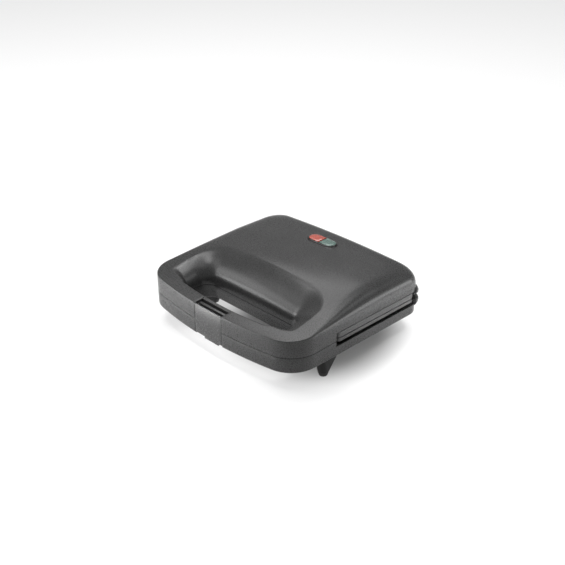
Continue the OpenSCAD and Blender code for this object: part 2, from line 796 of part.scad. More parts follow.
// Inlet bush in the rear wall of the base
cord_bush_r = 4.8;
cord_bore_r = 3.5;
cord_z = seam_z - 7.6;
module cord_axis() {
    translate([0, rear_y, cord_z]) rotate([90, 0, 0]) children();
}
module cord_bush() {
    color(dark_rubber) cord_axis() difference() {
        union() {
            translate([0, 0, -3]) cylinder(r1 = 5.4, r2 = cord_bush_r + 1.4, h = 3 - 0.05);
            translate([0, 0, -1]) cylinder(r = cord_bush_r - 0.05, h = 8);
            translate([0, 0, wall + 0.1]) cylinder(r = cord_bush_r + 1, h = 1.5);
        }
        cylinder(r = cord_bore_r, h = 40, center = true);
    }
}

// A lead along straight stretches at right angles, with rounded bends between them
lead_r = 1;
bend_r = 4;
module lead(points) {
    last = len(points) - 1;
    for (i = [0:last - 1]) {
        run = points[i + 1] - points[i];
        along = run / norm(run);
        from = i == 0 ? 0 : bend_r;
        to = norm(run) - (i == last - 1 ? 0 : bend_r);
        translate(points[i] + along * from) rotate([0, 90, atan2(along[1], along[0])])
            cylinder(r = lead_r, h = to - from);
        if (i > 0) {
            before = (points[i] - points[i - 1]) / norm(points[i] - points[i - 1]);
            left = before[0] * along[1] - before[1] * along[0] > 0;
            start = left ? -along : before;
            translate(points[i] + (along - before) * bend_r)
                rotate([0, 0, atan2(start[1], start[0])])
                rotate_extrude(angle = 90) translate([bend_r, 0]) circle(lead_r);
        }
    }
}

module base_wiring() {
    pin_tip = -pin_end - 0.05;
    rear_pin_y = back(plate_mid + element_half);
    front_pin_y = back(plate_mid - element_half);
    color("#b7432f") lead([[terminal_pos[0] - 12.05, wire_y, wire_z],
        [fuse_pos[0] + 11.05, wire_y, wire_z]]);
    color("#b7432f") lead([[fuse_pos[0] - 11.05, wire_y, wire_z], [-98, wire_y, wire_z],
        [-98, rear_pin_y, wire_z], [pin_tip, rear_pin_y, wire_z]]);
    color("#e8e4da") lead([[terminal_pos[0] + 12.05, wire_y, wire_z], [98, wire_y, wire_z],
        [98, back(80), wire_z], [-98, back(80), wire_z], [-98, front_pin_y, wire_z],
        [pin_tip, front_pin_y, wire_z]]);
}

// ---- Indicator --------------------------------------------------------------------------------
lens_proud = 2;
lens_top = seam_z + crown_h + lens_proud;
lens_flange_z = roof_in_z - 2.2;
module lens(s) {
    translate([0, back(lens_back), 0]) intersection() {
        union() {
            translate([0, 0, lens_flange_z]) linear_extrude(2) lens_outline(1.4);
            translate([0, 0, lens_flange_z]) linear_extrude(lens_top - lens_flange_z - 1)
                lens_outline(0);
            translate([0, 0, lens_top - 1 - eps]) linear_extrude(1) lens_outline(-0.7);
        }
        translate([s > 0 ? 0.05 : -40.05, -40, 0]) cube([40, 80, 200]);
    }
}
module red_lens() { color("#d8452f") lens(-1); }
module green_lens() { color("#2f7f63") lens(1); }

module lamp_board() {
    color("#3c6b3f") translate([0, back(lens_back), lamp_board_z]) round_plate(56, 15, 1.5, 2);
}
module lamp(x, c) {
    color(c) translate([x, back(lens_back), lamp_board_z + 1.6]) {
        cylinder(r = 2.2, h = 2.6);
        translate([0, 0, 2.6 - eps]) sphere(2.2);
    }
}
module red_lamp() lamp(-9, "#f0b0a0");
module green_lamp() lamp(9, "#b0e0c0");

module lid_wiring() {
    z = lamp_board_z + 0.75;
    color("#e8e4da") lead([[-28.05, back(lens_back), z], [-80, back(lens_back), z],
        [-80, back(plate_mid + 10), z]]);
}

// Short screws through the hinge plates into the rear walls
module hinge_screw(z) {
    translate([0, 0, z]) rotate([-90, 0, 0]) {
        translate([0, 0, hinge_plate_t + 0.05]) cylinder(r = hinge_screw_head_r, h = 1.6);
        translate([0, 0, 0.1]) cylinder(r = screw_r - 0.05, h = hinge_plate_t);
    }
}
module hinge_screws_base() {
    color(steel) for (x = [-hinge_x, hinge_x], s = [-1, 1])
        translate([x + s * 3.4, rear_y, seam_z]) hinge_screw(-8);
}
module hinge_screws_lid() {
    color(steel) for (x = [-hinge_x, hinge_x])
        translate([x, rear_y, seam_z]) hinge_screw(17.5);
}

lower_housing();
front_foot_left();
front_foot_right();
rear_foot_left();
rear_foot_right();
lower_grip_cover();
lower_plate();
lower_heater();
lower_reflector();
lower_plate_screws();
thermostat();
thermal_fuse();
terminal_block();
cord_bush();
base_wiring();
hinge_bracket_left();
hinge_bracket_right();
hinge_pin_left();
hinge_pin_right();
hinge_screws_base();
upper_housing();
upper_grip_cover();
upper_plate();
upper_heater();
upper_reflector();
upper_plate_screws();
hinge_arm_left();
hinge_arm_right();
hinge_screws_lid();
red_lens();
green_lens();
lamp_board();
red_lamp();
green_lamp();
lid_wiring();
latch_pin();
latch_clip();
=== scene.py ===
import json
import math

import bmesh
import bpy
from mathutils import Matrix, Vector


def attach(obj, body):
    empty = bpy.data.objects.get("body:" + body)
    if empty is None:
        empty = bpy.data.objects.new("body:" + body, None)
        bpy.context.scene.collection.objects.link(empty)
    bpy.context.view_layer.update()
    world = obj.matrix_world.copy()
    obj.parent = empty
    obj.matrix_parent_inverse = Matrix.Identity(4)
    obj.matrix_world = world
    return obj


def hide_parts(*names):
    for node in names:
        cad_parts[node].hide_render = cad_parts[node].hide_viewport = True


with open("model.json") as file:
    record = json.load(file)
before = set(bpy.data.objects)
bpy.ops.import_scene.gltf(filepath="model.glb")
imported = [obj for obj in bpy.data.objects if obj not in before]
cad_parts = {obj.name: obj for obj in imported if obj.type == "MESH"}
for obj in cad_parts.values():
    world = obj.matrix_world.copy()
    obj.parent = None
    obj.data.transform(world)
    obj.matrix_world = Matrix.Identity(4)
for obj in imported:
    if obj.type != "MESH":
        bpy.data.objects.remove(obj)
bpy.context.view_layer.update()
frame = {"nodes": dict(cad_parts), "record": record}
nodes = frame["nodes"]

# Lengths are in millimetres here and become metres when a mesh is finished. The frame is the CAD
# model's: the origin on the table under the middle, the handle towards -Y. A depth v counts back
# from the front, and a height in the shapes below counts from the parting line.
MM = 0.001
WELD = 0.0005           # points closer than this are merged
CLOSE = 0.001           # places closer than this count as the same

# Outline of both housings
HALF_W = 115.0
BODY_D = 210.0
FRONT = -110.5          # y of the front's middle
REAR = FRONT + BODY_D
SEAM = 40.0             # height of the parting line above the table
GAP = 0.3               # half the gap at the parting line
WALL = 2.5
BOW = 13.7              # how far the front bows out
BOW_R = (HALF_W ** 2 + BOW ** 2) / (2 * BOW)
BOW_Y = FRONT + BOW_R
FRONT_R = 33.7          # corner radii of the outline
REAR_R = 18.0

# Finger opening
BAR_D = 17.0            # depth of the handle bar in front of it
HOLE_HALF = 73.0
HOLE_BACK = 63.0
HOLE_R = 14.0
BASE_HOLE_R = 2.0       # radius of its lower edge
HOLE_DRAFT = (1.5, 3.5)  # how far its wall leans in the base, at the bar and at the back

# Top of the lid
BAND_H = 19.3           # height of the handle bar
CROWN_H = 39.4          # height of the dome's middle and of its sides
SHOULDER_H = 36.0
CROWN_RUN = 110.0       # depth over which the middle rises
RISE_START = 8.0        # depth where the sides begin to rise, and the depth they take
RISE_RUN = 130.0
SHOULDER_R = 25.0
SHOULDER_DRAFT = 0.015  # tightens the shoulder towards the front, so that no two profiles cross
REAR_SHOULDER_R = 21.0
DOME_CORNER_R = 26.0
EDGE_R = 1.5
SOFT = 0.84             # how softly the shoulder bends: 1 would be a quarter circle
SCOOP_BACK = 30.0       # reach of the scoop behind and beside the finger opening
SCOOP_END = 22.0
SCOOP_TURN = 45.0       # degrees that the scoop's curve turns through
SCOOP_FOOT = 3.0
SCOOP_BLEND = 0.3       # how quickly the scoop fades out along the opening's ends
ROLL_BAR = 3.0          # radius of the handle bar's upper edge
ROLL_BLEND = 1.25
INNER_R = 0.4           # least radius that is left inside a wall

# Underside of the base
SKIRT_H = 18.0          # height of the outer wall, and of the belly between the legs
BELLY_H = 26.0
SKIRT_R = 2.5
BELLY_FRONT = 68.0
BELLY_RUN = 22.0
BELLY_CROWD = 1.3       # crowds the belly's rows towards the outer wall

# Side slots, and the lower or upper edge of each housing in each zone
SLOT_FRONT, SLOT_BACK = 72.5, 199.0
LID_EDGE = {"latch": GAP, "front": GAP, "slot": 9.9, "rear": 4.5}
BASE_EDGE = {"latch": -GAP, "front": -GAP, "slot": -6.2, "rear": -0.5}

# Latch recess in the handle bar
RECESS_HALF = 21.4
RECESS_INNER = 24.0
LID_RECESS = 3.6
BASE_RECESS = 6.5
POCKET_BACK = 12.0
POCKET_FLOOR = 9.4


def ease(t):
    t = min(1.0, max(0.0, t))
    return t * t * (3 - 2 * t)


def mix(a, b, t):
    return a + (b - a) * t


def back(v):
    return FRONT + v


def even(a, b, n):
    """n values from a towards b, without b."""
    return [mix(a, b, i / n) for i in range(n)]


def quarter(n):
    """n steps of a quarter turn, in degrees, with both ends."""
    return [90 * i / n for i in range(n + 1)]


def polar(r, angle):
    return Vector((r * math.cos(math.radians(angle)), r * math.sin(math.radians(angle))))


class Edge:
    """A point of a plan loop with the direction of its outward normal, in degrees."""

    def __init__(self, x, y, angle):
        self.at = Vector((x, y))
        self.angle = angle
        self.out = polar(1, angle)

    def moved(self, d):
        return self.at + self.out * d

    def mirrored(self):
        return Edge(-self.at.x, self.at.y, 180 - self.angle)


def half_loop(w, bow_r, corner_r, rear_y, rear_r, bow, corner, side, turn_back, rear):
    """The right half of a plan loop, from the middle of its front to the middle of its rear.
    bow and rear hold x positions, the others hold fractions of their stretch."""
    cx = w - corner_r
    cy = BOW_Y - math.sqrt((bow_r - corner_r) ** 2 - cx * cx)
    turn = math.degrees(math.atan2(cy - BOW_Y, cx))
    loop = []
    for x in bow:
        a = math.degrees(math.asin(x / bow_r)) - 90
        p = polar(bow_r, a)
        loop.append(Edge(p.x, BOW_Y + p.y, a))
    for t in corner:
        p = polar(corner_r, turn * (1 - t))
        loop.append(Edge(cx + p.x, cy + p.y, turn * (1 - t)))
    for t in side:
        loop.append(Edge(w, mix(cy, rear_y - rear_r, t), 0))
    for t in turn_back:
        p = polar(rear_r, 90 * t)
        loop.append(Edge(w - rear_r + p.x, rear_y - rear_r + p.y, 90 * t))
    for x in rear:
        loop.append(Edge(x, rear_y, 90))
    return loop


# ---- Stations round the outline -----------------------------------------------------------------
# A station is one profile across the housing. Where the profile jumps, at the ends of the latch
# recess and of the side slots, two stations stand on the same spot.
RECESS_STEPS = 7
BOW_START, BOW_STEPS = 30.0, 14
CORNER_STEPS = 22
SIDE_STEPS = (6, 30)    # in front of the slot's front end and behind it
TURN_STEPS = (6, 16)    # in front of the slot's rear end and behind it
REAR_STEPS = 20
near_bow = (even(0, RECESS_HALF, RECESS_STEPS) + [RECESS_HALF, RECESS_HALF]
            + [RECESS_INNER, RECESS_INNER] + even(RECESS_INNER, BOW_START, 2)[1:])
tangent = BOW_R * (HALF_W - FRONT_R) / (BOW_R - FRONT_R)
SIDE_FRONT = BOW_Y - math.sqrt((BOW_R - FRONT_R) ** 2 - (HALF_W - FRONT_R) ** 2)
SIDE_REAR = REAR - REAR_R
slot_at = (back(SLOT_FRONT) - SIDE_FRONT) / (SIDE_REAR - SIDE_FRONT)
slot_turn = math.degrees(math.asin((back(SLOT_BACK) - SIDE_REAR) / REAR_R)) / 90

outline = half_loop(
    HALF_W, BOW_R, FRONT_R, REAR, REAR_R,
    near_bow + even(BOW_START, tangent, BOW_STEPS),
    even(0, 1, CORNER_STEPS),
    even(0, slot_at, SIDE_STEPS[0]) + [slot_at] + even(slot_at, 1, SIDE_STEPS[1]),
    even(0, slot_turn, TURN_STEPS[0]) + [slot_turn] + even(slot_turn, 1, TURN_STEPS[1]),
    even(HALF_W - REAR_R, 0, REAR_STEPS) + [0])

# The opening has the same stations. Its short side takes the first of those along the slot, and
# the first part of its rear corner takes the rest.
HOLE_SIDE_STEPS = 8
HOLE_TURN = 0.42
hole_bow_r = BOW_R - BAR_D
hole_tangent = hole_bow_r * (HOLE_HALF - HOLE_R) / (hole_bow_r - HOLE_R)
hole_slot_at = slot_at * 2.5
hole_slot_turn = HOLE_TURN + 0.5 * slot_turn
opening = half_loop(
    HOLE_HALF, hole_bow_r, HOLE_R, back(HOLE_BACK), HOLE_R,
    near_bow + even(BOW_START, hole_tangent, BOW_STEPS),
    even(0, 1, CORNER_STEPS),
    even(0, hole_slot_at, SIDE_STEPS[0]) + [hole_slot_at] + even(hole_slot_at, 1, HOLE_SIDE_STEPS),
    even(0, HOLE_TURN, SIDE_STEPS[1] - HOLE_SIDE_STEPS)
    + even(HOLE_TURN, hole_slot_turn, TURN_STEPS[0]) + [hole_slot_turn]
    + even(hole_slot_turn, 1, TURN_STEPS[1]),
    even(HOLE_HALF - HOLE_R, 0, REAR_STEPS) + [0])

# The zone of each station, for the outer skin and for the inner one, which leaves the latch recess
# a wall's thickness further out
last_front = len(near_bow) + BOW_STEPS + CORNER_STEPS + SIDE_STEPS[0]
last_slot = last_front + 1 + SIDE_STEPS[1] + TURN_STEPS[0]


def zone_at(i, last_latch):
    for zone, last in (("latch", last_latch), ("front", last_front), ("slot", last_slot)):
        if i <= last:
            return zone
    return "rear"


zones = [zone_at(i, RECESS_STEPS) for i in range(len(outline))]
inner_zones = [zone_at(i, RECESS_STEPS + 2) for i in range(len(outline))]


def whole(half, flip=None):
    """The half and its mirror image, without the two middle stations twice."""
    return half + [flip(e) if flip else e for e in half[-2:0:-1]]


outline = whole(outline, Edge.mirrored)
opening = whole(opening, Edge.mirrored)
zones = whole(zones)
inner_zones = whole(inner_zones)


# ---- Shape of the lid ---------------------------------------------------------------------------
def side_rise(y):
    return ease((y - FRONT - RISE_START) / RISE_RUN)


def shoulder_at(y):
    return max(EDGE_R, (SHOULDER_R - SHOULDER_DRAFT * max(0, SIDE_REAR - y)) * side_rise(y))


def dome(p):
    """Height of the lid's top above the parting line."""
    middle = BAND_H + (CROWN_H - BAND_H) * ease((p.y - FRONT) / CROWN_RUN)
    side = BAND_H + (SHOULDER_H - BAND_H) * side_rise(p.y)
    across = p.x / (HALF_W - shoulder_at(p.y))
    return middle - (middle - side) * across * across


def shoulder(o):
    return mix(shoulder_at(o.at.y), REAR_SHOULDER_R, ease(o.out.y))


def shoulder_end(o, r):
    """Where the shoulder of radius r meets the dome."""
    if o.at.y < SIDE_REAR - CLOSE:
        along = max(0, (o.at.y - SIDE_FRONT) / (SIDE_REAR - SIDE_FRONT))
        draw = (DOME_CORNER_R + REAR_SHOULDER_R - REAR_R) * along * along
        return o.moved(-r) - Vector((0, draw))
    c = abs(o.out.x)
    if c > CLOSE:
        x = HALF_W - SHOULDER_R - DOME_CORNER_R * (1 - c)
    else:
        x = abs(o.at.x) * (HALF_W - SHOULDER_R - DOME_CORNER_R) / (HALF_W - REAR_R)
    return Vector((math.copysign(x, o.at.x),
                   REAR - REAR_SHOULDER_R - DOME_CORNER_R * (1 - o.out.y)))


def roll(h):
    """Width of the rolled edge round the finger opening."""
    if h.out.y > 0:
        return mix(SCOOP_END, SCOOP_BACK, ease(h.out.y))
    return mix(SCOOP_END, ROLL_BAR, ease(-ROLL_BLEND * h.out.y))


def scooped(h):
    """Share of the scoop's flat curve in the rolled edge: none on the handle bar."""
    return ease(h.out.y / SCOOP_BLEND + 1)


def shoulder_curve(q, side, drop, n):
    """The shoulder from the dome at q down to the side wall: it leaves the dome on the dome's own
    slope, bends slowly at both ends and fastest in between."""
    run = max(side.length, 0.01)
    slope = dome(q) - dome(q + side / run)
    line = []
    for a in reversed(quarter(n)):
        p = polar(1, a)
        x, z = max(0, p.x) ** SOFT, max(0, p.y) ** SOFT
        line.append((q + side * x, dome(q) - drop * (1 - z) - slope * run * x * (1 - x)))
    return line


def lid_skin(o, h, t, edge, rows):
    """One station of the lid from the finger opening over the dome to the outline, a depth t
    inside its skin. rows counts the steps of wall, roll, dome, shoulder and side wall."""
    wall_n, roll_n, dome_n, shoulder_n, side_n = rows
    co = max(shoulder(o), t + INNER_R)
    ch = max(roll(h), t + INNER_R)
    ro, rh = co - t, ch - t
    q = shoulder_end(o, co)
    side = o.moved(-t) - q
    g = h.moved(ch)
    zq = dome(q) - t
    zg = dome(g) - t
    share = scooped(h)
    foot = mix(zg - rh, SCOOP_FOOT, share)
    line = [(h.moved(t), mix(GAP, foot, i / wall_n)) for i in range(wall_n)]
    flat = polar(1, SCOOP_TURN)
    for a in quarter(roll_n):
        p = polar(1, a)
        b = polar(1, a * SCOOP_TURN / 90)
        across = mix(1 - p.x, (1 - b.x) / (1 - flat.x), share)
        up = mix(p.y, b.y / flat.y, share)
        line.append((h.moved(t + rh * across), mix(foot, zg, up)))
    # Across the dome each profile swings over to the shoulder's x early, clear of its neighbours.
    for i in range(1, dome_n):
        f = i / dome_n
        p = Vector((mix(g.x, q.x, 1 - (1 - f) ** 2), mix(g.y, q.y, f)))
        line.append((p, dome(p) - t))
    line += [(p, z - t) for p, z in shoulder_curve(q, side, ro, shoulder_n)]
    step = LID_EDGE["slot"]
    for i in range(1, side_n):
        line.append((o.moved(-t), mix(zq - ro, step, i / (side_n - 1))))
    line.append((o.moved(-t), edge))
    return line


def path(corners, counts):
    """Points along straight stretches in the plane of a station, each (distance back, height)."""
    line = []
    for (a, b), n in zip(zip(corners, corners[1:]), counts):
        line += [(mix(a[0], b[0], i / n), mix(a[1], b[1], i / n)) for i in range(n)]
    return line + [corners[-1]]


POCKET_STEPS = (3, 8)   # along the bar's top and down the pocket's back


def lid_latch_skin(o, h, t, edge, rows):
    """A station through the latch recess: over the bar, down into the pocket and out below."""
    wall_n, roll_n, dome_n, shoulder_n, side_n = rows
    rest = lid_skin(o, h, t, edge, rows)
    x = o.at.x
    if t == 0:
        kept = rest[:wall_n + roll_n + 1]
        front_of_roll = kept[-1][0].y - FRONT
        low = POCKET_FLOOR
        line = path(
            [(front_of_roll, BAND_H), (POCKET_BACK, BAND_H), (POCKET_BACK, low),
             (LID_RECESS, low), (LID_RECESS, edge)],
            [*POCKET_STEPS, dome_n - sum(POCKET_STEPS) + shoulder_n, side_n])[1:]
    else:
        kept = rest[:1]
        low = POCKET_FLOOR - WALL
        v = kept[-1][0].y - FRONT
        line = path([(v, edge), (v, low), (LID_RECESS + WALL, low), (LID_RECESS + WALL, edge)],
                    [wall_n, roll_n + dome_n + shoulder_n, side_n])[1:]
    return kept + [(Vector((x, back(v))), z) for v, z in line]


# ---- Shape of the base --------------------------------------------------------------------------
def belly(p):
    """Depth of the base's underside below the parting line."""
    return SKIRT_H + (BELLY_H - SKIRT_H) * (
        ease((p.y - back(BELLY_FRONT)) / BELLY_RUN)
        * ease((HALF_W - SKIRT_R - abs(p.x)) / BELLY_RUN)
        * ease((REAR - SKIRT_R - p.y) / BELLY_RUN))


def base_skin(o, h, t, edge, rows):
    """One station of the base from the outline under the belly to the finger opening, a depth t
    inside its skin. rows counts the steps of side wall, skirt, belly, hole edge and hole wall."""
    side_n, skirt_n, belly_n, hole_n, wall_n = rows
    co = max(SKIRT_R, t + INNER_R)
    ch = max(BASE_HOLE_R, t + INNER_R)
    ro, rh = co - t, ch - t
    draft = mix(*HOLE_DRAFT, ease(h.out.y))
    q = o.moved(-co)
    g = h.moved(ch + draft)
    low = -SKIRT_H + t
    step = BASE_EDGE["slot"]
    line = [(o.moved(-t), edge)]
    line += [(o.moved(-t), mix(step, low + ro, i / side_n)) for i in range(side_n)]
    for a in quarter(skirt_n):
        p = polar(ro, a)
        line.append((o.moved(p.x - co), low + ro - p.y))
    for i in range(1, belly_n):
        p = q.lerp(g, (i / belly_n) ** BELLY_CROWD)
        line.append((p, t - belly(p)))
    for a in reversed(quarter(hole_n)):
        p = polar(rh, a)
        line.append((h.moved(ch + draft - p.x), low + rh - p.y))
    line += [(h.moved(mix(t + draft, t, i / wall_n)), mix(low + rh, -GAP, i / wall_n))
             for i in range(1, wall_n + 1)]
    return line


def base_latch_skin(o, h, t, edge, rows):
    """A station of the base behind the clip, where the outer wall stands back."""
    side_n, skirt_n, belly_n, hole_n, wall_n = rows
    rest = base_skin(o, h, t, edge, rows)
    kept = rest[-(hole_n + 1 + wall_n):]
    v = BASE_RECESS + t
    end = kept[0][0].y - FRONT
    low = -SKIRT_H + t
    line = path([(v, edge), (v, low), (end, low)], [side_n + 1 + skirt_n, belly_n])[:-1]
    return [(Vector((o.at.x, back(v))), z) for v, z in line] + kept


# ---- Making meshes ------------------------------------------------------------------------------
SMOOTH_BELOW = math.radians(50)


def finish(bm, name, bevel=0.3, sharp=40, segments=2):
    """Rounds the edges that turn by more than sharp degrees, turns millimetres to metres and links
    the finished piece."""
    bmesh.ops.remove_doubles(bm, verts=bm.verts, dist=WELD)
    bmesh.ops.recalc_face_normals(bm, faces=bm.faces)
    limit = math.radians(sharp)
    if bevel:
        edges = [e for e in bm.edges if e.is_manifold and e.calc_face_angle(0) > limit]
        bmesh.ops.bevel(bm, geom=edges, offset=bevel, offset_type="OFFSET", affect="EDGES",
                        segments=segments, profile=0.5, material=-1, clamp_overlap=True)
    for f in bm.faces:
        f.smooth = True
    for e in bm.edges:
        e.smooth = e.calc_face_angle(0) < SMOOTH_BELOW
    bmesh.ops.scale(bm, vec=(MM, MM, MM), verts=bm.verts)
    mesh = bpy.data.meshes.new(name)
    bm.to_mesh(mesh)
    bm.free()
    piece = bpy.data.objects.new(name, mesh)
    bpy.context.scene.collection.objects.link(piece)
    return piece


def grow(bm, rings, close=False, caps=False, end_cap=False):
    """Draws the first ring and extrudes it from ring to ring. close leads back to the first ring,
    caps fills both ends and end_cap only the last."""
    count = len(rings[0])
    ring = [bm.verts.new(p) for p in rings[0]]
    edges = [bm.edges.new((ring[i], ring[(i + 1) % count])) for i in range(count)]
    if caps:
        bmesh.ops.edgeloop_fill(bm, edges=edges)
    for points in rings[1:] + ([rings[0]] if close else []):
        made = bmesh.ops.extrude_edge_only(bm, edges=edges)["geom"]
        new = {v for v in made if isinstance(v, bmesh.types.BMVert)}
        ring = [next(e.other_vert(v) for e in v.link_edges if e.other_vert(v) in new)
                for v in ring]
        for v, p in zip(ring, points):
            v.co = p
        edges = [e for e in made if isinstance(e, bmesh.types.BMEdge)
                 and e.verts[0] in new and e.verts[1] in new]
    if caps or end_cap:
        bmesh.ops.edgeloop_fill(bm, edges=edges)


def housing(name, skin, latch_skin, rows, inner_rows, edges):
    """A moulded housing: each station's profile runs over its outer skin and back over the inner
    one, and each row of points round the loop is grown into the next."""
    profiles = []
    for o, h, zone, inner_zone in zip(outline, opening, zones, inner_zones):
        make = latch_skin if zone == "latch" else skin
        make_inner = latch_skin if inner_zone == "latch" else skin
        line = make(o, h, 0, edges[zone], rows)
        line += reversed(make_inner(o, h, WALL, edges[zone], inner_rows))
        profiles.append([Vector((p.x, p.y, SEAM + z)) for p, z in line])
    bm = bmesh.new()
    grow(bm, list(zip(*profiles)), close=True)
    bmesh.ops.remove_doubles(bm, verts=bm.verts, dist=WELD)
    # The upright ends of the latch recess become one face each.
    for x in (-RECESS_HALF, RECESS_HALF):
        flat = [f for f in bm.faces if all(abs(v.co.x - x) < CLOSE for v in f.verts)]
        bmesh.ops.dissolve_faces(bm, faces=flat)
    return finish(bm, name)


def box(bm, low, high):
    """A box between two opposite corners."""
    made = bmesh.ops.create_cube(bm, size=1)["verts"]
    low, high = Vector(low), Vector(high)
    bmesh.ops.scale(bm, vec=high - low, verts=made)
    bmesh.ops.translate(bm, vec=(low + high) / 2, verts=made)


def round_loop(x, y, w, d, r, z):
    """A level rectangle round (x, y) with corners of radius r."""
    steps = 6
    loop = []
    for k, (sx, sy) in enumerate(((1, 1), (-1, 1), (-1, -1), (1, -1))):
        for i in range(steps + 1):
            p = polar(r, 90 * (k + i / steps))
            loop.append(Vector((x + sx * (w / 2 - r) + p.x, y + sy * (d / 2 - r) + p.y, z)))
    return loop


# ---- Housings -----------------------------------------------------------------------------------
# Steps of a profile, as each skin's docstring lists them: first on the outer, then the inner skin
LID_ROWS, LID_INNER = (3, 12, 28, 12, 5), (1, 5, 8, 5, 2)
BASE_ROWS, BASE_INNER = (4, 8, 30, 6, 3), (1, 3, 10, 3, 1)
lid = housing("lid_shell", lid_skin, lid_latch_skin, LID_ROWS, LID_INNER, LID_EDGE)
tray = housing("base_shell", base_skin, base_latch_skin, BASE_ROWS, BASE_INNER, BASE_EDGE)

# The lips that stand proud round the two rear corners: where they begin on the corner, in degrees,
# and the x on the rear wall where they end
LIP_START, LIP_STEPS = 25.0, 16
LIP_END = 88.0


def corner_lips(name, profile):
    """profile holds the lip's section as (proud, height). Towards the side, where the corner
    begins, the lip is kept within the housing's width."""
    bm = bmesh.new()
    for s in (-1, 1):
        stations = [(HALF_W - REAR_R + polar(REAR_R, a).x, SIDE_REAR + polar(REAR_R, a).y, a)
                    for a in even(LIP_START, 90, LIP_STEPS) + [90]] + [(LIP_END, REAR, 90)]
        rings = []
        for x, y, a in stations:
            room = REAR_R / max(0.05, math.cos(math.radians(a))) - REAR_R
            e = Edge(x, y, a) if s > 0 else Edge(x, y, a).mirrored()
            rings.append([Vector((*e.moved(min(d, room)), SEAM + z)) for d, z in profile])
        grow(bm, rings, caps=True)
    return finish(bm, name)


lid_lips = corner_lips("lid_corner_lips", (
    (-1.5, 6), (1.2, 6), (3.2, 7), (3.6, 9), (2.6, 11), (0.6, 12.2), (-1.5, 12.2)))
base_lips = corner_lips("base_corner_lips", (
    (-1.5, -0.5), (3.8, -0.5), (4.0, -2), (3.6, -4.5), (2.2, -7), (0.4, -8.6), (-1.5, -8.6)))

# ---- Legs and feet ------------------------------------------------------------------------------
# Each leg: x and y of its foot, the height of its top, the top's depth and how far it leans back
FOOT_H = 5.0
FRONT_LEG = (105.5, back(64), SEAM - SKIRT_H + 1.5, 25, 6)
REAR_LEG = (78.0, back(176), SEAM - BELLY_H + 2, 21, 2)
LEG_FOOT, LEG_FOOT_R = 12.0, 5.9
LEG_TOP_W, LEG_TOP_R = 15.0, 3.0
LEG_IN = 1.4            # how far a leg leans inwards
WEB_LOW, WEB_HIGH = (67, 98), (62, 98)   # x ends of the web beside each front leg
WEB_H = 10.0
WEB_V = (66.5, 72.0)
FOOT_LOW_R, FOOT_TOP_R = 4.4, 6.0

bm = bmesh.new()
for s in (-1, 1):
    for x, y, top, depth, lean in (FRONT_LEG, REAR_LEG):
        grow(bm, [round_loop(s * x, y, LEG_FOOT, LEG_FOOT, LEG_FOOT_R, FOOT_H),
                  round_loop(s * (x - LEG_IN), y + lean, LEG_TOP_W, depth, LEG_TOP_R, top)],
             caps=True)
    top = FRONT_LEG[2]
    web = [(WEB_HIGH[0], top), (WEB_LOW[0], top - WEB_H), (WEB_LOW[1], top - WEB_H),
           (WEB_HIGH[1], top)]
    grow(bm, [[Vector((s * x, back(v), z)) for x, z in web] for v in WEB_V], caps=True)
legs = finish(bm, "base_legs")

feet = {}
for side, s in (("left", -1), ("right", 1)):
    for row, (x, y, *_) in (("front", FRONT_LEG), ("rear", REAR_LEG)):
        bm = bmesh.new()
        bmesh.ops.create_cone(bm, cap_ends=True, segments=40, radius1=FOOT_LOW_R,
                              radius2=FOOT_TOP_R, depth=FOOT_H,
                              matrix=Matrix.Translation((s * x, y, FOOT_H / 2)))
        feet[f"{row}_foot_{side}"] = finish(bm, f"{row}_foot_{side}_cap", bevel=0.7, segments=3)

# ---- Latch --------------------------------------------------------------------------------------
CLIP_HALF = 21.0
CLIP_TOP, CLIP_BOTTOM = 19.3, -15.6
CLIP_V = 3.0            # depth of the bowed front plate at its middle
LIP_T, LIP_H = 1.3, 5.8  # the thin lip along the plate's upper edge
RIDGE_HALF = 19.7
RIDGE_LOW = 11.4
TAB_HALF, TAB_BOTTOM = 11.0, -21.5

bm = bmesh.new()
rings = []
for x in even(-CLIP_HALF, CLIP_HALF, 12) + [CLIP_HALF]:
    y = BOW_Y - math.sqrt(BOW_R ** 2 - x * x)
    section = ((y, CLIP_BOTTOM), (y, CLIP_TOP), (y + LIP_T, CLIP_TOP),
               (y + LIP_T, CLIP_TOP - LIP_H), (back(CLIP_V), CLIP_TOP - LIP_H - 1),
               (back(CLIP_V), CLIP_BOTTOM))
    rings.append([Vector((x, y, SEAM + z)) for y, z in section])
grow(bm, rings, caps=True)


def clip_box(x0, x1, v0, v1, z0, z1):
    box(bm, (x0, back(v0), SEAM + z0), (x1, back(v1), SEAM + z1))


# the thin web behind the plate, and the flat ridge that the pin runs through
clip_box(-RIDGE_HALF, RIDGE_HALF, 2.9, 5.3, RIDGE_LOW, 13)
clip_box(-RIDGE_HALF, RIDGE_HALF, 5.6, 9.0, RIDGE_LOW, 18.4)
# two hooks, and the thumb tab with the shelf that carries it
for x in (-15, 15):
    clip_box(x - 2.5, x + 2.5, 2.9, 4.4, CLIP_BOTTOM, CLIP_BOTTOM + 2)
clip_box(-TAB_HALF, TAB_HALF, 2.9, 6, CLIP_BOTTOM, CLIP_BOTTOM + 2)
clip_box(-TAB_HALF, TAB_HALF, 4, 6, TAB_BOTTOM, CLIP_BOTTOM + 1)
clip = finish(bm, "latch_snap_clip", bevel=0.4)

# ---- Indicator ----------------------------------------------------------------------------------
LENS_Y = back(172)
LENS_L, LENS_W = 38.0, 15.0
LENS_R = LENS_W / 2
LENS_STEPS = 20
LENS_SPLIT = 0.15       # half the joint between the two covers

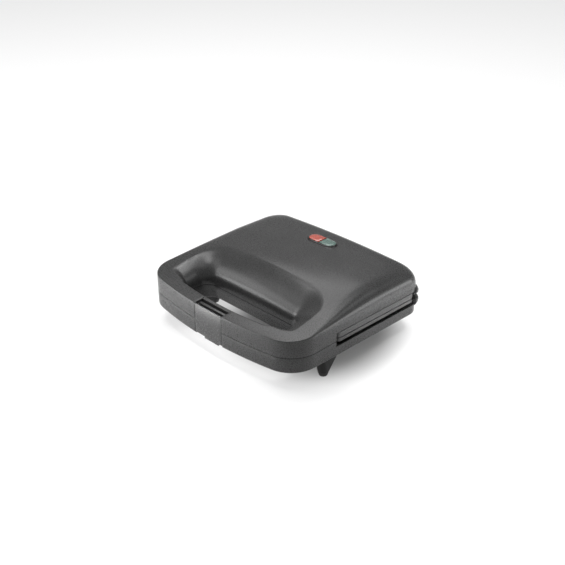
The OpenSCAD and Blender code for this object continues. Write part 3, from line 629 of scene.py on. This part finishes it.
# Sections from the bottom up: (inset, height) of a cover, and (distance from the lens outline,
# height above the dome) of the dark bezel that stands round the two
COVER_SECTION = ((0.7, 36.0), (0.7, 40.9), (0.9, 41.3), (1.5, 41.6), (2.8, 41.8))
BEZEL_SECTION = ((-0.65, -1), (-0.65, 1.5), (-0.4, 1.7), (0, 1.6), (0.5, 0.9), (1.0, 0.2),
                 (1.5, 0.03), (1.5, -1))
half_turn = even(-90, 90, LENS_STEPS) + [90]


def lens_cover(name, s):
    """One half of the indicator; s is -1 for the left half and 1 for the right one."""
    end = Vector((s * (LENS_L / 2 - LENS_R), LENS_Y))
    rim = [Vector((s * LENS_SPLIT, LENS_Y - LENS_R))]
    rim += [end + Vector((s * polar(LENS_R, a).x, polar(LENS_R, a).y)) for a in half_turn]
    rim += [Vector((s * LENS_SPLIT, LENS_Y + LENS_R))]
    middle = sum(rim, Vector((0, 0))) / len(rim)
    bm = bmesh.new()
    grow(bm, [[Vector((*(p + (middle - p).normalized() * inset), SEAM + z)) for p in rim]
              for inset, z in COVER_SECTION], caps=True)
    return finish(bm, name, bevel=0)


def bezel_ring(d, lift):
    """The outline of both lenses, widened by d, at a height lift above the dome."""
    ring = []
    for s in (1, -1):
        end = Vector((s * (LENS_L - LENS_W) / 2, LENS_Y))
        for a in half_turn:
            at = end + s * polar(1, a) * (LENS_R + d)
            ring.append(Vector((*at, SEAM + dome(at) + lift)))
    return ring


lenses = {"red_lens": lens_cover("red_lens_cover", -1),
          "green_lens": lens_cover("green_lens_cover", 1)}
bm = bmesh.new()
grow(bm, [bezel_ring(d, lift) for d, lift in BEZEL_SECTION], close=True)
bezel = finish(bm, "indicator_bezel", bevel=0)

# ---- Cooking plates -----------------------------------------------------------------------------
PLATE_W, PLATE_D, PLATE_R = 228.0, 121.0, 4.0
PLATE_Y = back(76 + PLATE_D / 2)
PLATE_SEAM = SEAM + 1.6  # height where the two plates meet
RIM_T = 2.5             # walls of the casting: rim, flat and pockets
DECK_T = 2.5
SKIN_T = 2.6
POCKET_LEG = 92.0       # length of a pocket's short sides at the flat
POCKET_R = 7.0
POCKET_PITCH = 99.0     # two pockets lie head to tail in a square of this side
BAY_X = 52.5
POCKET_STEPS_DOWN = ((0, 0, 0), (9, 6, 4.5), (13, 8, 6), (17.5, 9, 8.5))  # shorter, deeper, inset
WIDER = 2.4             # how much longer the outside is, for each mm of wall
SCREW_X, SCREW_Y = 106.5, 53.0
SCREW_R, SCREW_DEEP = 3.1, 1.6


def triangle(leg, r, z, shift):
    """A right-angled triangle with rounded corners. Its square corner is at the origin, then it is
    moved by shift both ways."""
    k = leg - r - r * (1 + math.sqrt(2))
    loop = []
    for (x, y), start, turn in (((r, r), 180, 90), ((r + k, r), 270, 135), ((r, r + k), 45, 135)):
        for a in even(start, start + turn, 8) + [start + turn]:
            p = polar(r, a)
            loop.append(Vector((x + p.x + shift, y + p.y + shift, z)))
    return loop


def plate_faces(bm, z):
    """Closes the flat between the open edges at height z, round the holes in it."""
    edges = [e for e in bm.edges if e.is_boundary and all(abs(v.co.z - z) < 0.01 for v in e.verts)]
    bmesh.ops.triangle_fill(bm, use_beauty=True, use_dissolve=False, edges=edges)


def cooking_plate(name, rim_h, seat, up):
    """A cast plate whose face lies at the height seat; up is 1 for the base's, -1 for the lid's.
    It is drawn face up round the origin and then put in its place."""
    bm = bmesh.new()
    inner = (PLATE_W - 2 * RIM_T, PLATE_D - 2 * RIM_T, PLATE_R - RIM_T)
    grow(bm, [round_loop(0, 0, PLATE_W, PLATE_D, PLATE_R, z) for z in (0, -rim_h)]
         + [round_loop(0, 0, *inner, z) for z in (-rim_h, -DECK_T)])
    for s in (-1, 1):
        for turn in (1, -1):
            for skin, top in ((0, 0), (SKIN_T, -DECK_T)):
                rings = [triangle(POCKET_LEG - shorter + WIDER * skin, POCKET_R,
                                  -deep - skin if deep else top, inset - skin)
                         for shorter, deep, inset in POCKET_STEPS_DOWN]
                for v in (v for ring in rings for v in ring):
                    v.x = s * BAY_X + turn * s * (v.x - POCKET_PITCH / 2)
                    v.y = turn * (v.y - POCKET_PITCH / 2)
                grow(bm, rings, end_cap=True)
    for x in (-SCREW_X, SCREW_X):
        for y in (-SCREW_Y, SCREW_Y):
            grow(bm, [[Vector((x, y, z)) + polar(SCREW_R, a).to_3d() for a in even(0, 360, 24)]
                      for z in (0, -SCREW_DEEP)], end_cap=True)
    plate_faces(bm, 0)
    plate_faces(bm, -DECK_T)
    for v in bm.verts:
        v.co = Vector((v.co.x, PLATE_Y + v.co.y, seat + up * v.co.z))
    return finish(bm, name, bevel=0.8, sharp=30, segments=3)


lower_plate = cooking_plate("lower_cooking_plate", 3.8, PLATE_SEAM - 0.4, 1)
upper_plate = cooking_plate("upper_cooking_plate", 6.2, PLATE_SEAM + 0.5, -1)


# ---- Materials ----------------------------------------------------------------------------------
WHITE = (1, 1, 1, 1)


def linear(code):
    """An sRGB hex colour as linear numbers."""
    parts = [int(code[i:i + 2], 16) / 255 for i in (1, 3, 5)]
    return (*[p / 12.92 if p <= 0.04045 else ((p + 0.055) / 1.055) ** 2.4 for p in parts], 1)


def add(tree, kind, settings=None, **links):
    """Adds a node, sets its properties or plain inputs, and links inputs to other sockets."""
    n = tree.nodes.new(kind)
    for key, value in (settings or {}).items():
        if hasattr(n, key) and key not in n.inputs:
            setattr(n, key, value)
        else:
            n.inputs[key].default_value = value
    for key, socket in links.items():
        tree.links.new(socket, n.inputs[key.replace("_", " ")])
    return n


def new_material(name, settings):
    m = bpy.data.materials.new(name)
    m.use_nodes = True
    m.node_tree.nodes.clear()
    shader = add(m.node_tree, "ShaderNodeBsdfPrincipled", settings)
    add(m.node_tree, "ShaderNodeOutputMaterial", Surface=shader.outputs[0])
    return m, m.node_tree, shader


NOISE_LOW, NOISE_HIGH = 0.3, 0.7    # the part of a noise pattern's range that is used
GLOSS_DRIFT = 0.03
GRAIN_STRENGTH = 0.4


def grainy(name, dark, light, rough, grain_mm, depth_mm, settings, patch_mm=30):
    """A surface with a slow drift of its colour, over patches of patch_mm, and a fine grain that
    catches the light and varies the gloss."""
    m, tree, shader = new_material(name, settings)
    where = add(tree, "ShaderNodeTexCoord").outputs["Object"]
    patch = add(tree, "ShaderNodeTexNoise",
                {"Scale": 1 / (patch_mm * MM), "Detail": 3}, Vector=where)
    ramp = add(tree, "ShaderNodeValToRGB", Fac=patch.outputs["Fac"])
    stops = ((NOISE_LOW, dark), (NOISE_HIGH, light))
    for stop, (position, colour) in zip(ramp.color_ramp.elements, stops):
        stop.color = linear(colour)
        stop.position = position
    tree.links.new(ramp.outputs["Color"], shader.inputs["Base Color"])
    grain = add(tree, "ShaderNodeTexNoise",
                {"Scale": 1 / (grain_mm * MM), "Detail": 2}, Vector=where)
    gloss = add(tree, "ShaderNodeMapRange",
                {"From Min": NOISE_LOW, "From Max": NOISE_HIGH,
                 "To Min": rough - GLOSS_DRIFT, "To Max": rough + GLOSS_DRIFT},
                Value=grain.outputs["Fac"])
    tree.links.new(gloss.outputs["Result"], shader.inputs["Roughness"])
    bump = add(tree, "ShaderNodeBump", {"Strength": GRAIN_STRENGTH, "Distance": depth_mm * MM},
               Height=grain.outputs["Fac"])
    tree.links.new(bump.outputs["Normal"], shader.inputs["Normal"])
    return m


# Injection-moulded ABS with a spark-eroded grain: nearly black in itself, with a broad soft sheen
# that mirrors the white surroundings as a satin grey. The pits of the grain swallow part of the
# gloss. The real grain is near 0.1 mm; it is drawn at 0.9 mm so that it shows at all.
shell_abs = grainy("moulded_abs_eroded_grain", "#292929", "#2f2f2f", 0.28, 0.9, 0.006,
                   {"IOR": 1.53, "Specular IOR Level": 0.3})
# The latch is moulded from the same ABS in a smoother tool: a little lighter and silkier.
clip_abs = grainy("moulded_abs_satin", "#2a2a2a", "#303030", 0.26, 1.2, 0.004,
                  {"IOR": 1.53, "Specular IOR Level": 0.3})
# The same ABS as the shell, darkened to near black as painted shade for the legs, which stand in
# the shadow under the toaster; a dull gloss.
leg_abs_painted_shade = grainy("moulded_abs_painted_shade", "#101010", "#161616", 0.36, 0.9, 0.008,
                 {"IOR": 1.53, "Specular IOR Level": 0.2})
# Moulded rubber: near black and dull.
foot_rubber = grainy("moulded_rubber", "#121212", "#181818", 0.6, 0.8, 0.03, {"IOR": 1.52})
# Die-cast aluminium under a sprayed non-stick coat: dark grey with fine specks and an even sheen.
plate_coat = grainy("cast_aluminium_nonstick_coat", "#363636", "#3e3e3e", 0.28, 0.7, 0.01,
                    {"IOR": 1.45, "Specular IOR Level": 0.45})
# Drawn steel tube, browned by heat: a warm, half-dull metal with blotches along it.
tube_steel = grainy("drawn_steel_heat_browned", "#6a6058", "#857a70", 0.4, 2.0, 0.005,
                    {"Metallic": 1.0}, patch_mm=12)
# Pressed aluminised sheet: pale metal with soft rolling streaks.
shield_sheet = grainy("aluminised_steel_sheet", "#c4c4c0", "#d2d2ce", 0.35, 3.0, 0.01,
                      {"Metallic": 1.0}, patch_mm=20)
# Pressed steel under a dark baked coat: an even, slightly pebbled half gloss.
hinge_coat = grainy("baked_enamel_on_steel", "#2c2c2c", "#343434", 0.42, 1.0, 0.01, {"IOR": 1.5})
# Zinc-plated screws and pins: small bright metal glints.
zinc = grainy("zinc_plate", "#b8b8b4", "#c6c6c2", 0.3, 1.0, 0.004, {"Metallic": 1.0}, patch_mm=6)
# Moulded white polyamide: creamy and half dull.
polyamide = grainy("moulded_polyamide", "#dcd8cc", "#e4e0d4", 0.5, 1.0, 0.01, {"IOR": 1.53})
# Silicone hose round the leads: soft dull sheen.
silicone = grainy("silicone_sleeve", "#b9b2a4", "#c6bfb2", 0.55, 1.5, 0.01, {"IOR": 1.43})
# Glass-epoxy laminate under green lacquer: smooth and half glossy.
laminate = grainy("epoxy_laminate", "#28502a", "#2e5a30", 0.35, 0.8, 0.005, {"IOR": 1.5})
# Moulded polycarbonate, tinted through: glossy, and light enters a little way.
LENS_GLOSS = {"IOR": 1.58, "Transmission Weight": 0.25, "Coat Weight": 0.5,
              "Coat Roughness": 0.05}
red_pc = grainy("polycarbonate_red_tint", "#a8402f", "#b24a38", 0.22, 3.0, 0.004, LENS_GLOSS)
green_pc = grainy("polycarbonate_green_tint", "#4a645c", "#536d65", 0.22, 3.0, 0.004, LENS_GLOSS)
# Polycarbonate made near black as painted shade: the ring stands for the shade in the gap round
# the lenses. A hard gloss.
bezel_pc_painted_gap_shade = grainy("polycarbonate_painted_gap_shade", "#0c0909", "#120e0e", 0.15, 3.0, 0.002,
                  {"IOR": 1.58, "Specular IOR Level": 0.3})

# ---- Pieces to bodies ---------------------------------------------------------------------------
dressed = [
    (lid, "lid", "shell", shell_abs, ["upper_housing"]),
    (lid_lips, "lid", "shell", shell_abs, []),
    (tray, "base", "shell", shell_abs, ["lower_housing"]),
    (base_lips, "base", "shell", shell_abs, []),
    (legs, "base", "shell", leg_abs_painted_shade, []),
    (bezel, "lid", "shell", bezel_pc_painted_gap_shade, []),
    (lower_plate, "base", "plate", plate_coat, ["lower_plate"]),
    (upper_plate, "lid", "plate", plate_coat, ["upper_plate"]),
    (clip, "latch", "latch", clip_abs, ["latch_clip"]),
    (lenses["red_lens"], "lid", "red_lens", red_pc, ["red_lens"]),
    (lenses["green_lens"], "lid", "green_lens", green_pc, ["green_lens"]),
]
dressed += [(cap, "base", "foot", foot_rubber, [name]) for name, cap in feet.items()]
for piece, body, slot, material, replaced in dressed:
    piece.data.materials.append(material)
    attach(piece, body)
    if replaced:
        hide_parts(*replaced)

slot_material = {
    "shell": shell_abs, "latch": clip_abs, "foot": foot_rubber, "plate": plate_coat,
    "element": tube_steel, "shield": shield_sheet, "hinge": hinge_coat, "hardware": zinc,
    "terminal": polyamide, "wire": silicone, "board": laminate, "red_lens": red_pc,
    "green_lens": green_pc, "red_lamp": red_pc, "green_lamp": green_pc}
for part in frame["record"]["subparts"]:
    data = nodes[part["node"]].data
    data.materials.clear()
    data.materials.append(slot_material[part["material_slot"]])

# ---- Floor, light and camera --------------------------------------------------------------------
FLOOR_HALF = 8000
bm = bmesh.new()
bmesh.ops.create_grid(bm, x_segments=1, y_segments=1, size=FLOOR_HALF)
floor = finish(bm, "floor", bevel=0)

# A matt white paper sweep with painted light and painted shadow: it glows all round the toaster
# but hardly under it, a painted shadow that keeps the gap below the toaster dark. The dark
# elliptical patch of painted shadow lies a little to the right of the middle. It belongs to the
# floor, so it stays where it is when the lid moves.
SHADOW_OVAL_RX, SHADOW_OVAL_RY = 0.115, 0.11
SHADOW_OVAL_MIDDLE = (-0.3, -0.1, 0)
PAINTED_SHADOW_GLOW, PAINTED_FLOOR_GLOW = 0.1, 0.6
paper, tree, shader = new_material("white_paper_painted_glow_and_shadow", {
    "Roughness": 0.9, "Base Color": linear("#9c9c9c"), "Specular IOR Level": 0.1,
    "Emission Color": WHITE})
where = add(tree, "ShaderNodeTexCoord").outputs["Object"]
# Painted shadow: an elliptical patch round the middle where the floor's painted light drops low.
shadow_oval = add(tree, "ShaderNodeMapping",
           {"Location": SHADOW_OVAL_MIDDLE, "Scale": (1 / SHADOW_OVAL_RX, 1 / SHADOW_OVAL_RY, 0)}, Vector=where)
far = add(tree, "ShaderNodeVectorMath", {"operation": "LENGTH"}, Vector=shadow_oval.outputs["Vector"])
painted_glow = add(tree, "ShaderNodeMapRange",
           {"interpolation_type": "SMOOTHSTEP", "From Min": 0.6, "From Max": 1.05,
            "To Min": PAINTED_SHADOW_GLOW, "To Max": PAINTED_FLOOR_GLOW}, Value=far.outputs["Value"])
tree.links.new(painted_glow.outputs["Result"], shader.inputs["Emission Strength"])
floor.data.materials.append(paper)

world = bpy.data.worlds.new("studio")
bpy.context.scene.world = world
world.use_nodes = True
world.node_tree.nodes.clear()
sky = add(world.node_tree, "ShaderNodeBackground", {"Strength": 0.45, "Color": WHITE})
add(world.node_tree, "ShaderNodeOutputWorld", Surface=sky.outputs[0])


def hang(name, data, place, aim):
    """Puts a lamp or the camera at place and turns it to face aim, both in metres."""
    holder = bpy.data.objects.new(name, data)
    bpy.context.scene.collection.objects.link(holder)
    holder.location = place
    holder.rotation_euler = (aim - place).to_track_quat("-Z", "Y").to_euler()
    return holder


LIT_POINT = Vector((0, 0, 0.03))


def softbox(name, place, size, power):
    lamp = bpy.data.lights.new(name, "AREA")
    lamp.shape = "RECTANGLE"
    lamp.size, lamp.size_y = size
    lamp.energy = power
    hang(name, lamp, Vector(place), LIT_POINT)


def ground(distance, bearing):
    """A place on the table; a bearing counts in degrees from the front towards the right."""
    return polar(distance, bearing - 90).to_3d()


# Softboxes round the toaster: height above the table in degrees, size in metres, then pairs of
# bearing and power in watts. The camera's side stays unlit, so that the corner towards it is dark.
# These lamps and the spots below were chosen from candidates, and their powers found, by a fit to
# the photograph's tones in another program. Some powers were then changed.
SOFTBOX_FAR = 1.6
SOFTBOXES = {
    9: ((0.8, 0.34), ((315, 10.5), (135, 6.4))),
    28: ((0.7, 0.45), ((315, 4.8),)),
    48: ((0.6, 0.45), ((225, 2.8), (315, 2.0), (135, 1.9))),
    69: ((0.4, 0.4), ((225, 5.8), (315, 4.2), (180, 3.7), (270, 3.5)))}
for height, (size, row) in SOFTBOXES.items():
    out = SOFTBOX_FAR * math.cos(math.radians(height))
    up = SOFTBOX_FAR * math.sin(math.radians(height))
    for bearing, power in row:
        softbox(f"softbox_{height}_{bearing}", ground(out, bearing) + Vector((0, 0, up)),
                size, power)
softbox("top_softbox", (0, 0, 1.4), (0.8, 0.8), 3.6)

# Spots on the table beside the toaster, whose walls mirror these bright patches: bearing, distance
# of the patch in metres, width of the cone in degrees and power in watts.
SPOT_UP, SPOT_OUT = 1.2, 0.25       # a spot hangs this far above its patch and beyond it
TABLE_SPOTS = ((335, 0.45, 20, 3300), (135, 0.55, 24, 700), (115, 0.36, 18, 450),
               (0, 0.27, 14, 250))
for bearing, distance, cone, power in TABLE_SPOTS:
    lamp = bpy.data.lights.new("table_spot", "SPOT")
    lamp.energy = power
    lamp.spot_size = math.radians(cone)
    lamp.spot_blend = 1.0
    lamp.shadow_soft_size = 0.1
    hang("table_spot", lamp, ground(distance + SPOT_OUT, bearing) + Vector((0, 0, SPOT_UP)),
         ground(distance, bearing))

# The camera stands where the photo was taken from.
EYE = Vector((657.20, -644.84, 544.12)) * MM
TARGET = Vector((-13.69, 11.62, 40.0)) * MM
view = bpy.data.cameras.new("photo_camera")
view.lens = 60.20
view.sensor_width = 36
bpy.context.scene.camera = hang("photo_camera", view, EYE, TARGET)
bpy.context.scene.view_settings.view_transform = "Standard"
